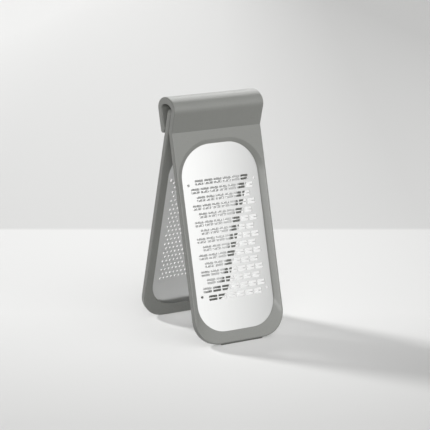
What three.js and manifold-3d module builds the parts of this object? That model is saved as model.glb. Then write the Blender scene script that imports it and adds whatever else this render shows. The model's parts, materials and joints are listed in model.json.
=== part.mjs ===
// A paddle grater: two paddles that stand open as an A-frame.
// The coarse paddle's top folds over into a hook, and the fine paddle's plain top rocks inside that hook.
// Millimetres, +Z up, the coarse paddle in front (-Y). The object stands on the plane z = 0.
//
// Each paddle is drawn lying flat: x runs across it, y from its foot towards its top,
// and z from its back face (z = 0, the inner side of the A-frame) out to its rim.
import * as THREE from 'three';
import { mergeGeometries, mergeVertices } from 'three/addons/utils/BufferGeometryUtils.js';
import Module from 'manifold-3d';

const wasm = await Module();
wasm.setup();

// Stance: two legs that meet at the hinge line
const FRONT_LEG = 218; // foot to hinge line, along the coarse paddle's back face
const REAR_LEG = 220; // foot to hinge line, along the fine paddle's back face
const OPEN_ANGLE = THREE.MathUtils.degToRad(30.5);

// Frames
const PADDLE_WIDTH = 103.2;
const PADDLE_THICKNESS = 7;
const PADDLE_CORNER = 26; // radius of the two corners at the foot
const TAB_CORNER = 3; // radius of the two corners at the top of the fine paddle
const EDGE_ROUND = 1;
const FIT = 0.3; // clearance between pieces that seat in one another

// Window and the dished slope around it
const WINDOW_WIDTH = 87.2;
const WINDOW_LENGTH = 189.6;
const WINDOW_BOTTOM = 11.9; // foot to the window
const WINDOW_BOTTOM_RADIUS = 28;
const WINDOW_TOP_RADIUS = 33;
const WINDOW_LIP = 0.8; // upright edge over the plate before the slope begins
const RIM_LAND = 1.6; // outside of the frame to the start of the slope
const DISH_TOP = 4.5; // window to the start of the slope, at the top

// Hook over the top of the coarse paddle
const HOOK_WALL = 7.2;
const TAB_LENGTH = 22; // reach of the fine paddle's top past the hinge line
const HEADROOM = 5.2; // tab to the inside of the arch
const ROCK_CLEARANCE = 1.3; // slack of the tab against the lip when folded flat

// Bowed plates
const PLATE_THICKNESS = 0.6;
const PLATE_SEAT = 2; // back face of the frame to the front of the plate, at the window's sides
const PLATE_BOW = 3; // rise of the plate's middle over the window's sides
const PLATE_TUCK = 2.5; // depth of the plate's edge in the frame
const PATTERN_DROP = 1; // middle of the window down to the middle of the cutting pattern

// Locating holes at the corners of the pattern
const LOCATING_DIAMETER = 2.2;
const LOCATING_SPAN_X = 76.2;
const LOCATING_SPAN_Y = 112.8;

// Coarse blades: a raised bridge across each opening cuts both ways
const COARSE_ROWS = 15;
const COARSE_COLUMNS = 7; // in the longer rows
const COARSE_COLUMN_PITCH = 10.5;
const COARSE_ROW_PITCH = 8.34;
const BLADE_LENGTH = 9; // across the paddle
const BLADE_OPENING = 5.2; // along the paddle
const BRIDGE_WIDTH = 1.2;
const BRIDGE_RISE = 1; // top of the bridge over the plate
const BRIDGE_GAUGE = 0.35;
const BRIDGE_RAMP = 1.5; // run of each sloping end of the bridge
const BRIDGE_ROOT = 0.2; // length of the bridge's ends inside the plate
const BRIDGE_SET = 0.1; // depth of the bridge's top under the plate's front, at the opening's ends

// Fine holes
const FINE_ROWS = 25;
const FINE_COLUMNS = 16; // in the longer rows
const FINE_COLUMN_PITCH = 4.58;
const FINE_ROW_PITCH = 5.145;
const FINE_DIAMETER = 1.9;

// Feet let into the bottom edges
const FOOT_LENGTH = 48;
const FOOT_WIDTH = 4;
const FOOT_DEPTH = 3; // groove up into the frame

// Number of flats
const CORNER_STEPS = 3; // half the flats of a rounded corner
const HOOK_STEPS = 5; // half the flats of each curve of the hook
const ROUND_STEPS = 2; // flats of an edge round
const LOCATING_SIDES = 6;
const FINE_SIDES = 3;
const CUT_MARGIN = 2; // overrun of a cut past the surface that it opens
const WELD = 1e-4; // points closer than this are one point

// Sizes that follow from the ones above
const halfWidth = PADDLE_WIDTH / 2;
const windowHalf = WINDOW_WIDTH / 2;
const windowTop = WINDOW_BOTTOM + WINDOW_LENGTH;
const patternCentre = (WINDOW_BOTTOM + windowTop) / 2 - PATTERN_DROP;
const bowRadius = (windowHalf ** 2 + PLATE_BOW ** 2) / (2 * PLATE_BOW);
const stance = Math.sqrt(FRONT_LEG ** 2 + REAR_LEG ** 2 - 2 * FRONT_LEG * REAR_LEG * Math.cos(OPEN_ANGLE));
const hingeHeight = (FRONT_LEG * REAR_LEG * Math.sin(OPEN_ANGLE)) / stance;
const frontLean = Math.acos(hingeHeight / FRONT_LEG);
const rearLean = OPEN_ANGLE - frontLean;

// Materials
const plastic = new THREE.MeshStandardMaterial({ color: 0x8b8c87, roughness: 0.55, metalness: 0 });
const steel = new THREE.MeshStandardMaterial({ color: 0xd8dadb, roughness: 0.3, metalness: 1 });
const rubber = new THREE.MeshStandardMaterial({ color: 0x3a3b39, roughness: 0.85, metalness: 0 });

// Solids

/** A closed geometry as a solid that can be joined and cut. */
function solid(geometry) {
  const bare = geometry.index ? geometry.toNonIndexed() : geometry.clone();
  for (const name of Object.keys(bare.attributes)) {
    if (name !== 'position') bare.deleteAttribute(name);
  }
  const merged = mergeVertices(bare, WELD);
  const mesh = new wasm.Mesh({
    numProp: 3,
    vertProperties: new Float32Array(merged.attributes.position.array),
    triVerts: new Uint32Array(merged.index.array),
  });
  return new wasm.Manifold(mesh);
}

/** A solid as a named mesh. */
function piece(name, body, material) {
  const { vertProperties, triVerts } = body.getMesh();
  const geometry = new THREE.BufferGeometry();
  geometry.setAttribute('position', new THREE.BufferAttribute(new Float32Array(vertProperties), 3));
  geometry.setIndex(new THREE.BufferAttribute(new Uint32Array(triVerts), 1));
  geometry.computeVertexNormals();
  const mesh = new THREE.Mesh(geometry, material);
  mesh.name = name;
  return mesh;
}

/** A box between two corners. */
function block(low, high) {
  const size = high.clone().sub(low);
  const middle = high.clone().add(low).multiplyScalar(0.5);
  return new THREE.BoxGeometry(size.x, size.y, size.z).translate(middle.x, middle.y, middle.z);
}

/** An outline drawn on the flat paddle, raised from one height to another. */
function raised(shape, low, high) {
  const options = { depth: high - low, bevelEnabled: false, curveSegments: CORNER_STEPS };
  return new THREE.ExtrudeGeometry(shape, options).translate(0, 0, low);
}

/** The same with rounded edges on both faces. */
function raisedWithRounds(shape, low, high) {
  const options = {
    depth: high - low - 2 * EDGE_ROUND,
    bevelThickness: EDGE_ROUND,
    bevelSize: EDGE_ROUND,
    bevelOffset: -EDGE_ROUND,
    bevelSegments: ROUND_STEPS,
    curveSegments: CORNER_STEPS,
  };
  return new THREE.ExtrudeGeometry(shape, options).translate(0, 0, low + EDGE_ROUND);
}

/** A side-view profile, drawn as (-z, y), run across the paddle. */
function across(shape, length, options = { bevelEnabled: false }) {
  return new THREE.ExtrudeGeometry(shape, { depth: length, ...options })
    .translate(0, 0, -length / 2)
    .rotateY(Math.PI / 2);
}

/** A solid through closed rings of points that have the same count, capped at both ends. */
function loft(rings) {
  const count = rings[0].length;
  const points = rings.flat();
  const cap = THREE.ShapeUtils.triangulateShape(rings[0].map((p) => new THREE.Vector2(p.x, p.y)), []);
  const index = [];
  for (let ring = 0; ring + 1 < rings.length; ring += 1) {
    for (let i = 0; i < count; i += 1) {
      const a = ring * count + i;
      const b = ring * count + ((i + 1) % count);
      index.push(a, b, b + count, a, b + count, a + count);
    }
  }
  const top = (rings.length - 1) * count;
  for (const [a, b, c] of cap) {
    index.push(a, c, b, top + a, top + b, top + c);
  }
  return new THREE.BufferGeometry().setFromPoints(points).setIndex(index);
}

// Outlines

/** An upright outline with one radius at the foot and another at the top, drawn anticlockwise. */
function outline(half, bottom, top, bottomRadius, topRadius) {
  const shape = new THREE.Shape();
  const quarter = Math.PI / 2;
  shape.absarc(half - bottomRadius, bottom + bottomRadius, bottomRadius, -quarter, 0);
  shape.absarc(half - topRadius, top - topRadius, topRadius, 0, quarter);
  shape.absarc(topRadius - half, top - topRadius, topRadius, quarter, 2 * quarter);
  shape.absarc(bottomRadius - half, bottom + bottomRadius, bottomRadius, 2 * quarter, 3 * quarter);
  shape.closePath();
  return shape;
}

/** The window's outline, grown outwards by a margin. */
function windowOutline(margin) {
  return outline(
    windowHalf + margin,
    WINDOW_BOTTOM - margin,
    windowTop + margin,
    WINDOW_BOTTOM_RADIUS + margin,
    WINDOW_TOP_RADIUS + margin,
  );
}

/** Where the slope around the window meets the rim. */
function dishOutline() {
  const half = halfWidth - RIM_LAND;
  const topRadius = WINDOW_TOP_RADIUS + half - windowHalf;
  return outline(half, RIM_LAND, windowTop + DISH_TOP, PADDLE_CORNER - RIM_LAND, topRadius);
}

/** An outline's corner points at a height that may change with x. */
function ringOf(shape, height) {
  const points = shape.getPoints(CORNER_STEPS);
  if (points[0].distanceTo(points[points.length - 1]) < WELD) points.pop();
  return points.map((p) => new THREE.Vector3(p.x, p.y, height(p.x)));
}

/** Height of the bowed plate's front over the frame's back face. */
function plateFront(x) {
  return PLATE_SEAT + PLATE_BOW - bowRadius + Math.sqrt(bowRadius ** 2 - x ** 2);
}

// Plates

/** Edges of the flats that make up a bow: the first one's distance from the middle, and the step between them. */
function flatEdges(first, step) {
  const right = [];
  for (let x = first; x < halfWidth + step; x += step) right.push(x);
  return [...right.map((x) => -x).reverse(), ...right];
}

// The bow folds along lines between the columns of holes
const coarseFlats = flatEdges(COARSE_COLUMN_PITCH / 2, COARSE_COLUMN_PITCH);
const fineFlats = flatEdges(FINE_COLUMN_PITCH / 4, 2 * FINE_COLUMN_PITCH);

/** A bowed band between two depths under the plate's front, as wide and long as the paddle. */
function bowedBand(edges, deep, shallow) {
  const front = edges.map((x) => new THREE.Vector2(x, plateFront(x) - shallow));
  const back = edges.map((x) => new THREE.Vector2(x, plateFront(x) - deep)).reverse();
  const options = { depth: windowTop + WINDOW_BOTTOM, bevelEnabled: false };
  const band = new THREE.ExtrudeGeometry(new THREE.Shape([...front, ...back]), options);
  return band.rotateX(Math.PI / 2).translate(0, windowTop + WINDOW_BOTTOM, 0);
}

/** The part of a bowed band inside the window's outline, grown by a margin. */
function bowedSheet(edges, deep, shallow, margin) {
  const prism = raised(windowOutline(margin), -PLATE_BOW, PADDLE_THICKNESS + PLATE_BOW);
  return solid(bowedBand(edges, deep, shallow)).intersect(solid(prism));
}

/** Places of a staggered pattern about the window: the longer rows alternate with rows one shorter. */
function staggered(rows, columns, rowPitch, columnPitch, firstRowLong) {
  const places = [];
  for (let row = 0; row < rows; row += 1) {
    const long = (row % 2 === 0) === firstRowLong;
    const count = long ? columns : columns - 1;
    for (let column = 0; column < count; column += 1) {
      const x = (column - (count - 1) / 2) * columnPitch;
      const y = patternCentre + (row - (rows - 1) / 2) * rowPitch;
      places.push(new THREE.Vector2(x, y));
    }
  }
  return places;
}

/** One upright hole cutter for each place, all as one solid. */
function holes(places, diameter, sides) {
  const height = PADDLE_THICKNESS + 2 * CUT_MARGIN;
  const cutters = places.map(({ x, y }) => new THREE.CylinderGeometry(diameter / 2, diameter / 2, height, sides)
    .rotateX(Math.PI / 2)
    .translate(x, y, PADDLE_THICKNESS / 2));
  return solid(mergeGeometries(cutters));
}

/** A plain plate, made up of flats with the given edges, with its four locating holes. */
function plateBlank(edges) {
  const corners = [];
  for (const side of [-1, 1]) {
    for (const end of [-1, 1]) {
      corners.push(new THREE.Vector2((side * LOCATING_SPAN_X) / 2, patternCentre + (end * LOCATING_SPAN_Y) / 2));
    }
  }
  const sheet = bowedSheet(edges, PLATE_THICKNESS, 0, PLATE_TUCK);
  return sheet.subtract(holes(corners, LOCATING_DIAMETER, LOCATING_SIDES));
}

/** A raised blade that springs from both ends of its opening, rooted in the plate's thickness. */
function bladeBridge() {
  const end = BLADE_LENGTH / 2;
  const crown = end - BRIDGE_RAMP;
  const root = end + BRIDGE_ROOT;
  const slope = (BRIDGE_RISE + BRIDGE_SET) / BRIDGE_RAMP;
  const rootTop = -BRIDGE_SET - slope * BRIDGE_ROOT;
  const upper = [[-root, rootTop], [-crown, BRIDGE_RISE], [crown, BRIDGE_RISE], [root, rootTop]];
  const lower = upper.map(([x, z]) => [x, z - BRIDGE_GAUGE]).reverse();
  const profile = new THREE.Shape([...upper, ...lower].map(([x, z]) => new THREE.Vector2(x, z)));
  const strip = new THREE.ExtrudeGeometry(profile, { depth: BRIDGE_WIDTH, bevelEnabled: false });
  return strip.rotateX(Math.PI / 2).translate(0, BRIDGE_WIDTH / 2, 0);
}

/** The coarse plate: each opening has a bridge across its middle. */
function coarsePlate() {
  const places = staggered(COARSE_ROWS, COARSE_COLUMNS, COARSE_ROW_PITCH, COARSE_COLUMN_PITCH, false);
  const openings = places.map(({ x, y }) => block(
    new THREE.Vector3(x - BLADE_LENGTH / 2, y - BLADE_OPENING / 2, -CUT_MARGIN),
    new THREE.Vector3(x + BLADE_LENGTH / 2, y + BLADE_OPENING / 2, PADDLE_THICKNESS + CUT_MARGIN),
  ));
  const bridges = places.map(({ x, y }) => bladeBridge()
    .rotateY(Math.asin(x / bowRadius))
    .translate(x, y, plateFront(x)));
  return plateBlank(coarseFlats)
    .subtract(solid(mergeGeometries(openings)))
    .add(solid(mergeGeometries(bridges)));
}

/** The fine plate: small holes in staggered rows. */
function finePlate() {
  const places = staggered(FINE_ROWS, FINE_COLUMNS, FINE_ROW_PITCH, FINE_COLUMN_PITCH, true);
  return plateBlank(fineFlats).subtract(holes(places, FINE_DIAMETER, FINE_SIDES));
}

// Frames

/** The window with the slope around it, right through the frame. */
function windowCut() {
  const rim = dishOutline();
  return loft([
    ringOf(windowOutline(0), () => -CUT_MARGIN),
    ringOf(windowOutline(0), (x) => plateFront(x) + WINDOW_LIP),
    ringOf(rim, () => PADDLE_THICKNESS),
    ringOf(rim, () => PADDLE_THICKNESS + CUT_MARGIN),
  ]);
}

/** The groove in the bottom edge that holds the foot. */
function footGroove() {
  const reach = FOOT_LENGTH / 2 + FIT;
  const middle = PADDLE_THICKNESS / 2;
  return block(
    new THREE.Vector3(-reach, -CUT_MARGIN, middle - FOOT_WIDTH / 2 - FIT),
    new THREE.Vector3(reach, FOOT_DEPTH, middle + FOOT_WIDTH / 2 + FIT),
  );
}

/** A frame blank with its window, the groove for the plate's edge and the groove for the foot cut in it. */
function frameFrom(blank) {
  const plateGroove = bowedSheet(coarseFlats, PLATE_THICKNESS + FIT, -FIT, PLATE_TUCK + FIT);
  return blank
    .subtract(solid(windowCut()))
    .subtract(plateGroove)
    .subtract(solid(footGroove()));
}

/** Side view of the coarse paddle: the straight leg, the crease, the arch and the lip behind it. */
function hookProfile() {
  const tilt = OPEN_ANGLE / 2; // the hook's middle line leans forward of the leg by half the opening
  const mouth = PADDLE_THICKNESS + FIT + ROCK_CLEARANCE;
  const creaseRun = (PADDLE_THICKNESS - HOOK_WALL * Math.cos(OPEN_ANGLE)) / Math.sin(OPEN_ANGLE);
  const crease = FRONT_LEG - HOOK_WALL * Math.sin(OPEN_ANGLE) + creaseRun * Math.cos(OPEN_ANGLE);
  const arch = (wall) => {
    const rise = HEADROOM + wall;
    const toWalls = mouth / 2 + wall + TAB_LENGTH * Math.sin(tilt);
    const span = Math.sqrt(toWalls ** 2 - (rise * Math.sin(tilt)) ** 2) / Math.cos(tilt);
    return { rise, span, end: Math.atan((rise / span) * Math.tan(tilt)) };
  };
  const outer = arch(HOOK_WALL);
  const inner = arch(0);
  const middle = new THREE.Vector2(mouth / 2 / Math.cos(tilt), TAB_LENGTH);
  middle.rotateAround(new THREE.Vector2(), tilt).add(new THREE.Vector2(0, FRONT_LEG));
  const lipRadius = HOOK_WALL / 2;
  const below = -CUT_MARGIN;

  const shape = new THREE.Shape();
  shape.moveTo(-PADDLE_THICKNESS, below);
  shape.lineTo(-PADDLE_THICKNESS, crease);
  shape.absellipse(middle.x, middle.y, outer.span, outer.rise, Math.PI + outer.end, -outer.end, true, tilt);
  shape.absarc(mouth + lipRadius, FRONT_LEG + lipRadius, lipRadius, 0, Math.PI, true);
  shape.absellipse(middle.x, middle.y, inner.span, inner.rise, -inner.end, Math.PI + inner.end, false, tilt);
  shape.lineTo(0, FRONT_LEG);
  shape.lineTo(0, below);
  shape.closePath();
  return shape;
}

/** What the rounded foot of a paddle leaves outside it. */
function footWaste() {
  const clear = 0.05; // keeps the waste off the paddle's flat sides and faces
  const upTo = PADDLE_CORNER + CUT_MARGIN;
  const shell = outline(halfWidth + clear, 0, 2 * upTo, PADDLE_CORNER, PADDLE_CORNER / 2);
  const around = block(
    new THREE.Vector3(-PADDLE_WIDTH, -2 * CUT_MARGIN, -PADDLE_THICKNESS),
    new THREE.Vector3(PADDLE_WIDTH, upTo, 2 * PADDLE_THICKNESS),
  );
  return solid(around).subtract(solid(raisedWithRounds(shell, -clear, PADDLE_THICKNESS + clear)));
}

/** The coarse paddle's frame with its hook. */
function frontFrame() {
  const rounds = {
    bevelThickness: EDGE_ROUND,
    bevelSize: EDGE_ROUND,
    bevelOffset: -EDGE_ROUND,
    bevelSegments: ROUND_STEPS,
    curveSegments: HOOK_STEPS,
  };
  const run = across(hookProfile(), PADDLE_WIDTH - 2 * EDGE_ROUND, rounds);
  return frameFrom(solid(run).subtract(footWaste()));
}

/** The fine paddle's frame, straight up to the tab in the hook. */
function rearFrame() {
  const shape = outline(halfWidth, 0, REAR_LEG + TAB_LENGTH, PADDLE_CORNER, TAB_CORNER);
  return frameFrom(solid(raisedWithRounds(shape, 0, PADDLE_THICKNESS)));
}

// Feet

/** A foot strip whose underside lies level when its paddle leans. */
function foot(lean) {
  const near = (PADDLE_THICKNESS - FOOT_WIDTH) / 2;
  const far = near + FOOT_WIDTH;
  const top = FOOT_DEPTH - FIT;
  const level = (z) => -z * Math.tan(lean);
  const profile = new THREE.Shape([
    new THREE.Vector2(-near, top),
    new THREE.Vector2(-far, top),
    new THREE.Vector2(-far, level(far)),
    new THREE.Vector2(-near, level(near)),
  ]);
  return solid(across(profile, FOOT_LENGTH));
}

// Assembly

/** Stands a flat paddle up with its rim facing front, leaning back towards the hinge line. */
function frontPaddle() {
  const paddle = new THREE.Group();
  paddle.add(piece('front_frame', frontFrame(), plastic));
  paddle.add(piece('front_plate', coarsePlate(), steel));
  paddle.add(piece('front_foot', foot(frontLean), rubber));
  paddle.rotation.x = Math.PI / 2 - frontLean;
  return paddle;
}

/** Stands the other paddle up with its rim facing back, a fit's clearance behind the hinge line. */
function rearPaddle() {
  const turned = new THREE.Group();
  turned.add(piece('rear_frame', rearFrame(), plastic));
  turned.add(piece('rear_plate', finePlate(), steel));
  turned.add(piece('rear_foot', foot(rearLean), rubber));
  turned.rotation.set(Math.PI / 2, Math.PI, 0);
  const paddle = new THREE.Group();
  paddle.add(turned);
  paddle.rotation.x = rearLean;
  paddle.position.y = stance + FIT / Math.cos(rearLean);
  return paddle;
}

const grater = new THREE.Group();
grater.add(frontPaddle(), rearPaddle());
const extent = new THREE.Box3().setFromObject(grater, true);
grater.position.y = -(extent.min.y + extent.max.y) / 2;

export default grater;
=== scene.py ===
"""A paddle grater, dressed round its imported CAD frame.

Two moulded paddles, each with a bowed stainless plate, stand open as an A-frame. Each piece is drawn in
millimetres on its paddle lying flat: x runs across it, y from its foot to its top, and z from its back face,
the inner side of the A-frame, out to its rim. It is then stood up in the scene, in metres.
"""

import json
import logging
import math
from dataclasses import dataclass, field
from enum import Enum
from functools import partial
from typing import Any, Callable

import bmesh
import bpy
import numpy as np
from mathutils import Matrix, Vector


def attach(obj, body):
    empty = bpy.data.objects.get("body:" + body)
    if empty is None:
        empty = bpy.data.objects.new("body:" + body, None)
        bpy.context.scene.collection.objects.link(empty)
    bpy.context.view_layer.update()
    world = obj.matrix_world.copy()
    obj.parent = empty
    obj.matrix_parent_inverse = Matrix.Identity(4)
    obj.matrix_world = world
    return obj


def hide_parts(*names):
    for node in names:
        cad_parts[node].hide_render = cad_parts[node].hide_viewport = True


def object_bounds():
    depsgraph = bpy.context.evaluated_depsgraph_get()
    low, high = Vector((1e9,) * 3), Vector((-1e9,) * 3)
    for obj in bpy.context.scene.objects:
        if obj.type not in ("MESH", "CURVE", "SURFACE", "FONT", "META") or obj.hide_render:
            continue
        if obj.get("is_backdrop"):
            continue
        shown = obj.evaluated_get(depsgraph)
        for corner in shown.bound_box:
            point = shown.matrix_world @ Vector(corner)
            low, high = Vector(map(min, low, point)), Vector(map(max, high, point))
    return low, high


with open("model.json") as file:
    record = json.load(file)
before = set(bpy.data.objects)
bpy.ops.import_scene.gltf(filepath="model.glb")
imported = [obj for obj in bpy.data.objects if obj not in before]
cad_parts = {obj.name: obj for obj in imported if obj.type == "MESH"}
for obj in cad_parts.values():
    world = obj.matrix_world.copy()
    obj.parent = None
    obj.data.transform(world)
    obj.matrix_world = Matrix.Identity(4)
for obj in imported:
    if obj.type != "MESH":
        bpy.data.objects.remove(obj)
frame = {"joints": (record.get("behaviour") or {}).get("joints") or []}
CAD_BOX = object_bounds()

LOG = logging.getLogger("paddle_grater")
MM = 0.001
QUARTER_TURN = math.pi / 2
WELD = 1e-4  # points closer than this are one point
CREASE_ANGLE = math.radians(25)  # edges that turn more than this are crisp

# How finely the curves are drawn
CORNER_STEPS = 16  # flats of a corner; an even number, so that a square corner has a point of its own
SIDE_STEPS = 12
END_STEPS = 10
ROUND_STEPS = 4
ARCH_STEPS = 28
TIP_STEPS = 7
PLATE_COLUMNS = 64
PLATE_ROWS = 24
BLADE_POINTS = (15, 3)  # along a blade and across it
OPENING_ROUND = 3
STRIP_ROUND = 3

TOP_RIGHT = CORNER_STEPS + SIDE_STEPS + CORNER_STEPS // 2  # place of an outline's upper right corner
TOP_LEFT = TOP_RIGHT + CORNER_STEPS + END_STEPS

# Names of the nodes and the setting that come up most, and a Mix node's settings and colour inputs
MATH = "ShaderNodeMath"
VECTOR_MATH = "ShaderNodeVectorMath"
MAP_RANGE = "ShaderNodeMapRange"
NOISE = "ShaderNodeTexNoise"
MIX = "ShaderNodeMix"
COMBINE = "ShaderNodeCombineXYZ"
GROUP = "GeometryNodeGroup"
BOOLEAN = "GeometryNodeMeshBoolean"
REALIZE = "GeometryNodeRealizeInstances"
OP = "operation"
COLOURS = {"data_type": "RGBA"}
TINT = {"data_type": "RGBA", "blend_type": "MULTIPLY", 0: 1.0}
FIRST, SECOND = 6, 7

WHITE = (1.0, 1.0, 1.0, 1.0)

Adder = Callable[..., Any]  # adds nodes to one tree


class Body(Enum):
    """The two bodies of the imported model."""

    COARSE = "coarse_paddle"
    FINE = "fine_paddle"


class Slot(Enum):
    """The record's material slots."""

    FRAME = "frame"
    PLATE = "plate"
    FOOT = "foot"


# Small tools


def linear(hex_code: str) -> tuple[float, ...]:
    """An sRGB hex colour as a linear one.

    Args:
        hex_code: Six hex digits after a hash sign.

    Returns:
        Red, green, blue and an alpha of 1.
    """
    parts = [int(hex_code[i : i + 2], 16) / 255 for i in (1, 3, 5)]
    rgb = [c / 12.92 if c <= 0.04045 else ((c + 0.055) / 1.055) ** 2.4 for c in parts]
    return (*rgb, 1.0)


def per_metre(size_mm: float) -> float:
    """The texture scale at which a feature is as large as a size in millimetres."""
    return 1 / (size_mm * MM)


def add_node(tree: Any, kind: str, values: dict | None = None) -> Any:
    """Adds one node, with its settings and links.

    Args:
        tree: The tree that gets the node.
        kind: Blender's name for the node.
        values: By property name, or by the name or number of an input: a setting, or what feeds that input.
            A node feeds it from its first output in use, a socket from itself, and a list from all in it.

    Returns:
        The new node.
    """
    node = tree.nodes.new(kind)
    for name, value in (values or {}).items():
        sources = value if isinstance(value, list) else [value]
        if isinstance(sources[0], (bpy.types.Node, bpy.types.NodeSocket)):
            for source in sources:
                if isinstance(source, bpy.types.Node):
                    source = next(socket for socket in source.outputs if socket.enabled)
                tree.links.new(source, node.inputs[name])
        elif isinstance(name, str) and hasattr(node, name):
            setattr(node, name, value)
        else:
            node.inputs[name].default_value = value
    return node


def new_material(name: str) -> tuple[bpy.types.Material, Adder, Any]:
    """A new material with an empty tree.

    Args:
        name: The material's name.

    Returns:
        The material, what adds nodes to it, and the socket that gives the place on a piece.
    """
    made = bpy.data.materials.new(name)
    made.use_nodes = True
    made.node_tree.nodes.clear()
    add = partial(add_node, made.node_tree)
    return made, add, add("ShaderNodeTexCoord").outputs["Object"]


def new_object(name: str, data: Any) -> bpy.types.Object:
    """A new object in the scene.

    Args:
        name: The object's name.
        data: The mesh, camera or light that it shows.

    Returns:
        The object.
    """
    made = bpy.data.objects.new(name, data)
    bpy.context.scene.collection.objects.link(made)
    return made


def settle(piece: bpy.types.Object) -> None:
    """Turns what a piece's modifiers make into its plain mesh, and removes them.

    Args:
        piece: The piece.
    """
    graph = bpy.context.evaluated_depsgraph_get()
    source = piece.evaluated_get(graph)
    made = bpy.data.meshes.new_from_object(source, preserve_all_data_layers=True, depsgraph=graph)
    drawn = piece.data
    piece.modifiers.clear()
    piece.data = made
    bpy.data.meshes.remove(drawn)


def crisp_edges(mesh: bpy.types.Mesh) -> None:
    """Shades a mesh smooth except along the edges that turn sharply.

    Args:
        mesh: The mesh.
    """
    work = bmesh.new()
    work.from_mesh(mesh)
    for face in work.faces:
        face.smooth = True
    for edge in work.edges:
        edge.smooth = len(edge.link_faces) == 2 and edge.calc_face_angle() < CREASE_ANGLE
    work.to_mesh(mesh)
    work.free()


@dataclass
class Shell:
    """Rings of points and the faces between them, which become one closed mesh."""

    points: list[np.ndarray] = field(default_factory=list)
    faces: list[tuple[int, ...]] = field(default_factory=list)

    def add(self, ring: np.ndarray) -> list[int]:
        """Adds a ring of points.

        Args:
            ring: One row of x, y and z for each point.

        Returns:
            The numbers of its points.
        """
        first = sum(len(earlier) for earlier in self.points)
        self.points.append(ring)
        return list(range(first, first + len(ring)))

    def bridge(self, one: list[int], other: list[int], skip: range = range(0)) -> None:
        """Joins two closed rings by faces.

        Args:
            one: Numbers of the first ring's points.
            other: Numbers of the second ring's points, as many.
            skip: Columns that stay open.
        """
        for i in range(len(one)):
            if i not in skip:
                after = (i + 1) % len(one)
                self.faces.append((one[i], one[after], other[after], other[i]))

    def mesh(self, name: str) -> bpy.types.Mesh:
        """Makes the shell a welded mesh whose faces point outwards.

        Args:
            name: The mesh's name.

        Returns:
            The mesh.
        """
        drawn = bpy.data.meshes.new(name)
        drawn.from_pydata(np.concatenate(self.points).tolist(), [], self.faces)
        work = bmesh.new()
        work.from_mesh(drawn)
        bmesh.ops.remove_doubles(work, verts=work.verts, dist=WELD)
        bmesh.ops.delete(work, geom=[v for v in work.verts if not v.link_faces], context="VERTS")
        bmesh.ops.recalc_face_normals(work, faces=work.faces)
        work.to_mesh(drawn)
        work.free()
        return drawn


@dataclass(frozen=True)
class Outline:
    """An upright outline with rounded corners, or square ones at its top."""

    half: float
    bottom: float
    top: float
    bottom_radius: float
    top_radius: float
    square_top: bool = False

    def grown(self, margin: float) -> "Outline":
        """The outline with a margin round it."""
        radii = self.bottom_radius + margin, self.top_radius + margin
        return Outline(self.half + margin, self.bottom - margin, self.top + margin, *radii, self.square_top)

    def points(self) -> np.ndarray:
        """Points round the outline, anticlockwise from the start of its lower right corner.

        Returns:
            One row of x and y for each point. All outlines have as many.
        """
        turn = np.linspace(0, QUARTER_TURN, CORNER_STEPS + 1)
        arc = np.stack([np.cos(turn), np.sin(turn)], axis=1)
        peak = arc / arc.max(axis=1, keepdims=True) if self.square_top else arc
        foot_x, foot_y = self.half - self.bottom_radius, self.bottom + self.bottom_radius
        top_x, top_y = self.half - self.top_radius, self.top - self.top_radius
        corners = [
            np.stack([arc[:, 1], -arc[:, 0]], axis=1) * self.bottom_radius + (foot_x, foot_y),
            peak * self.top_radius + (top_x, top_y),
            np.stack([-peak[:, 1], peak[:, 0]], axis=1) * self.top_radius + (-top_x, top_y),
            -arc * self.bottom_radius + (-foot_x, foot_y),
        ]
        path = []
        for corner, steps in enumerate((SIDE_STEPS, END_STEPS, SIDE_STEPS, END_STEPS)):
            start, stop = corners[corner][-1], corners[(corner + 1) % 4][0]
            path += [corners[corner], np.linspace(start, stop, steps + 1)[1:-1]]
        return np.concatenate(path)


def lifted(outline: np.ndarray, height: float) -> np.ndarray:
    """An outline's points at one height."""
    return np.column_stack([outline, np.full(len(outline), height)])


# Finishes


@dataclass(frozen=True)
class Finish:
    """What the finishes share: two tones and a fine relief, which follow patterns in the surface."""

    name: str
    pale: str
    dark: str
    depth_mm: float
    strength: float  # of the relief
    detail: float  # of the relief's pattern

    def dress(self, add: Adder, cloud: Any, relief: Any, shine: dict[str, Any]) -> None:
        """Ends the material's tree.

        Args:
            add: What adds nodes to it.
            cloud: The node of the pattern that the tones follow.
            relief: The node of the pattern that stands out of the surface.
            shine: The shader's other values.
        """
        tone = add(MIX, {**COLOURS, 0: cloud, FIRST: linear(self.dark), SECOND: linear(self.pale)})
        raised = {"Strength": self.strength, "Distance": self.depth_mm * MM, "Height": relief}
        bump = add("ShaderNodeBump", raised)
        shader = add("ShaderNodeBsdfPrincipled", {"Base Color": tone, "Normal": bump, **shine})
        add("ShaderNodeOutputMaterial", {"Surface": shader})


@dataclass(frozen=True)
class MouldedNylon(Finish):
    """Nylon moulded in a spark-eroded tool: an even warm grey with a soft sheen and a faint pebble.

    The real pebble is about 0.2 mm across. It is drawn at 0.7 mm, so that it shows at all.
    """

    name: str = "moulded_nylon_warm_grey"
    pale: str = "#8d8e8a"
    dark: str = "#888985"
    depth_mm: float = 0.02
    strength: float = 0.35
    detail: float = 2.0
    pebble_mm: float = 0.7
    cloud_mm: float = 22.0
    cloud_detail: float = 3.0
    roughness: tuple[float, float] = (0.25, 0.32)
    ior: float = 1.53

    def material(self) -> bpy.types.Material:
        """Builds the material.

        Returns:
            The material.
        """
        made, add, place = new_material(self.name)
        clouds = {"Scale": per_metre(self.cloud_mm), "Detail": self.cloud_detail, "Vector": place}
        pebble = add(NOISE, {"Scale": per_metre(self.pebble_mm), "Detail": self.detail, "Vector": place})
        low, high = self.roughness
        gloss = add(MAP_RANGE, {"To Min": low, "To Max": high, "Value": pebble})
        self.dress(add, add(NOISE, clouds), pebble, {"IOR": self.ior, "Roughness": gloss})
        return made


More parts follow.
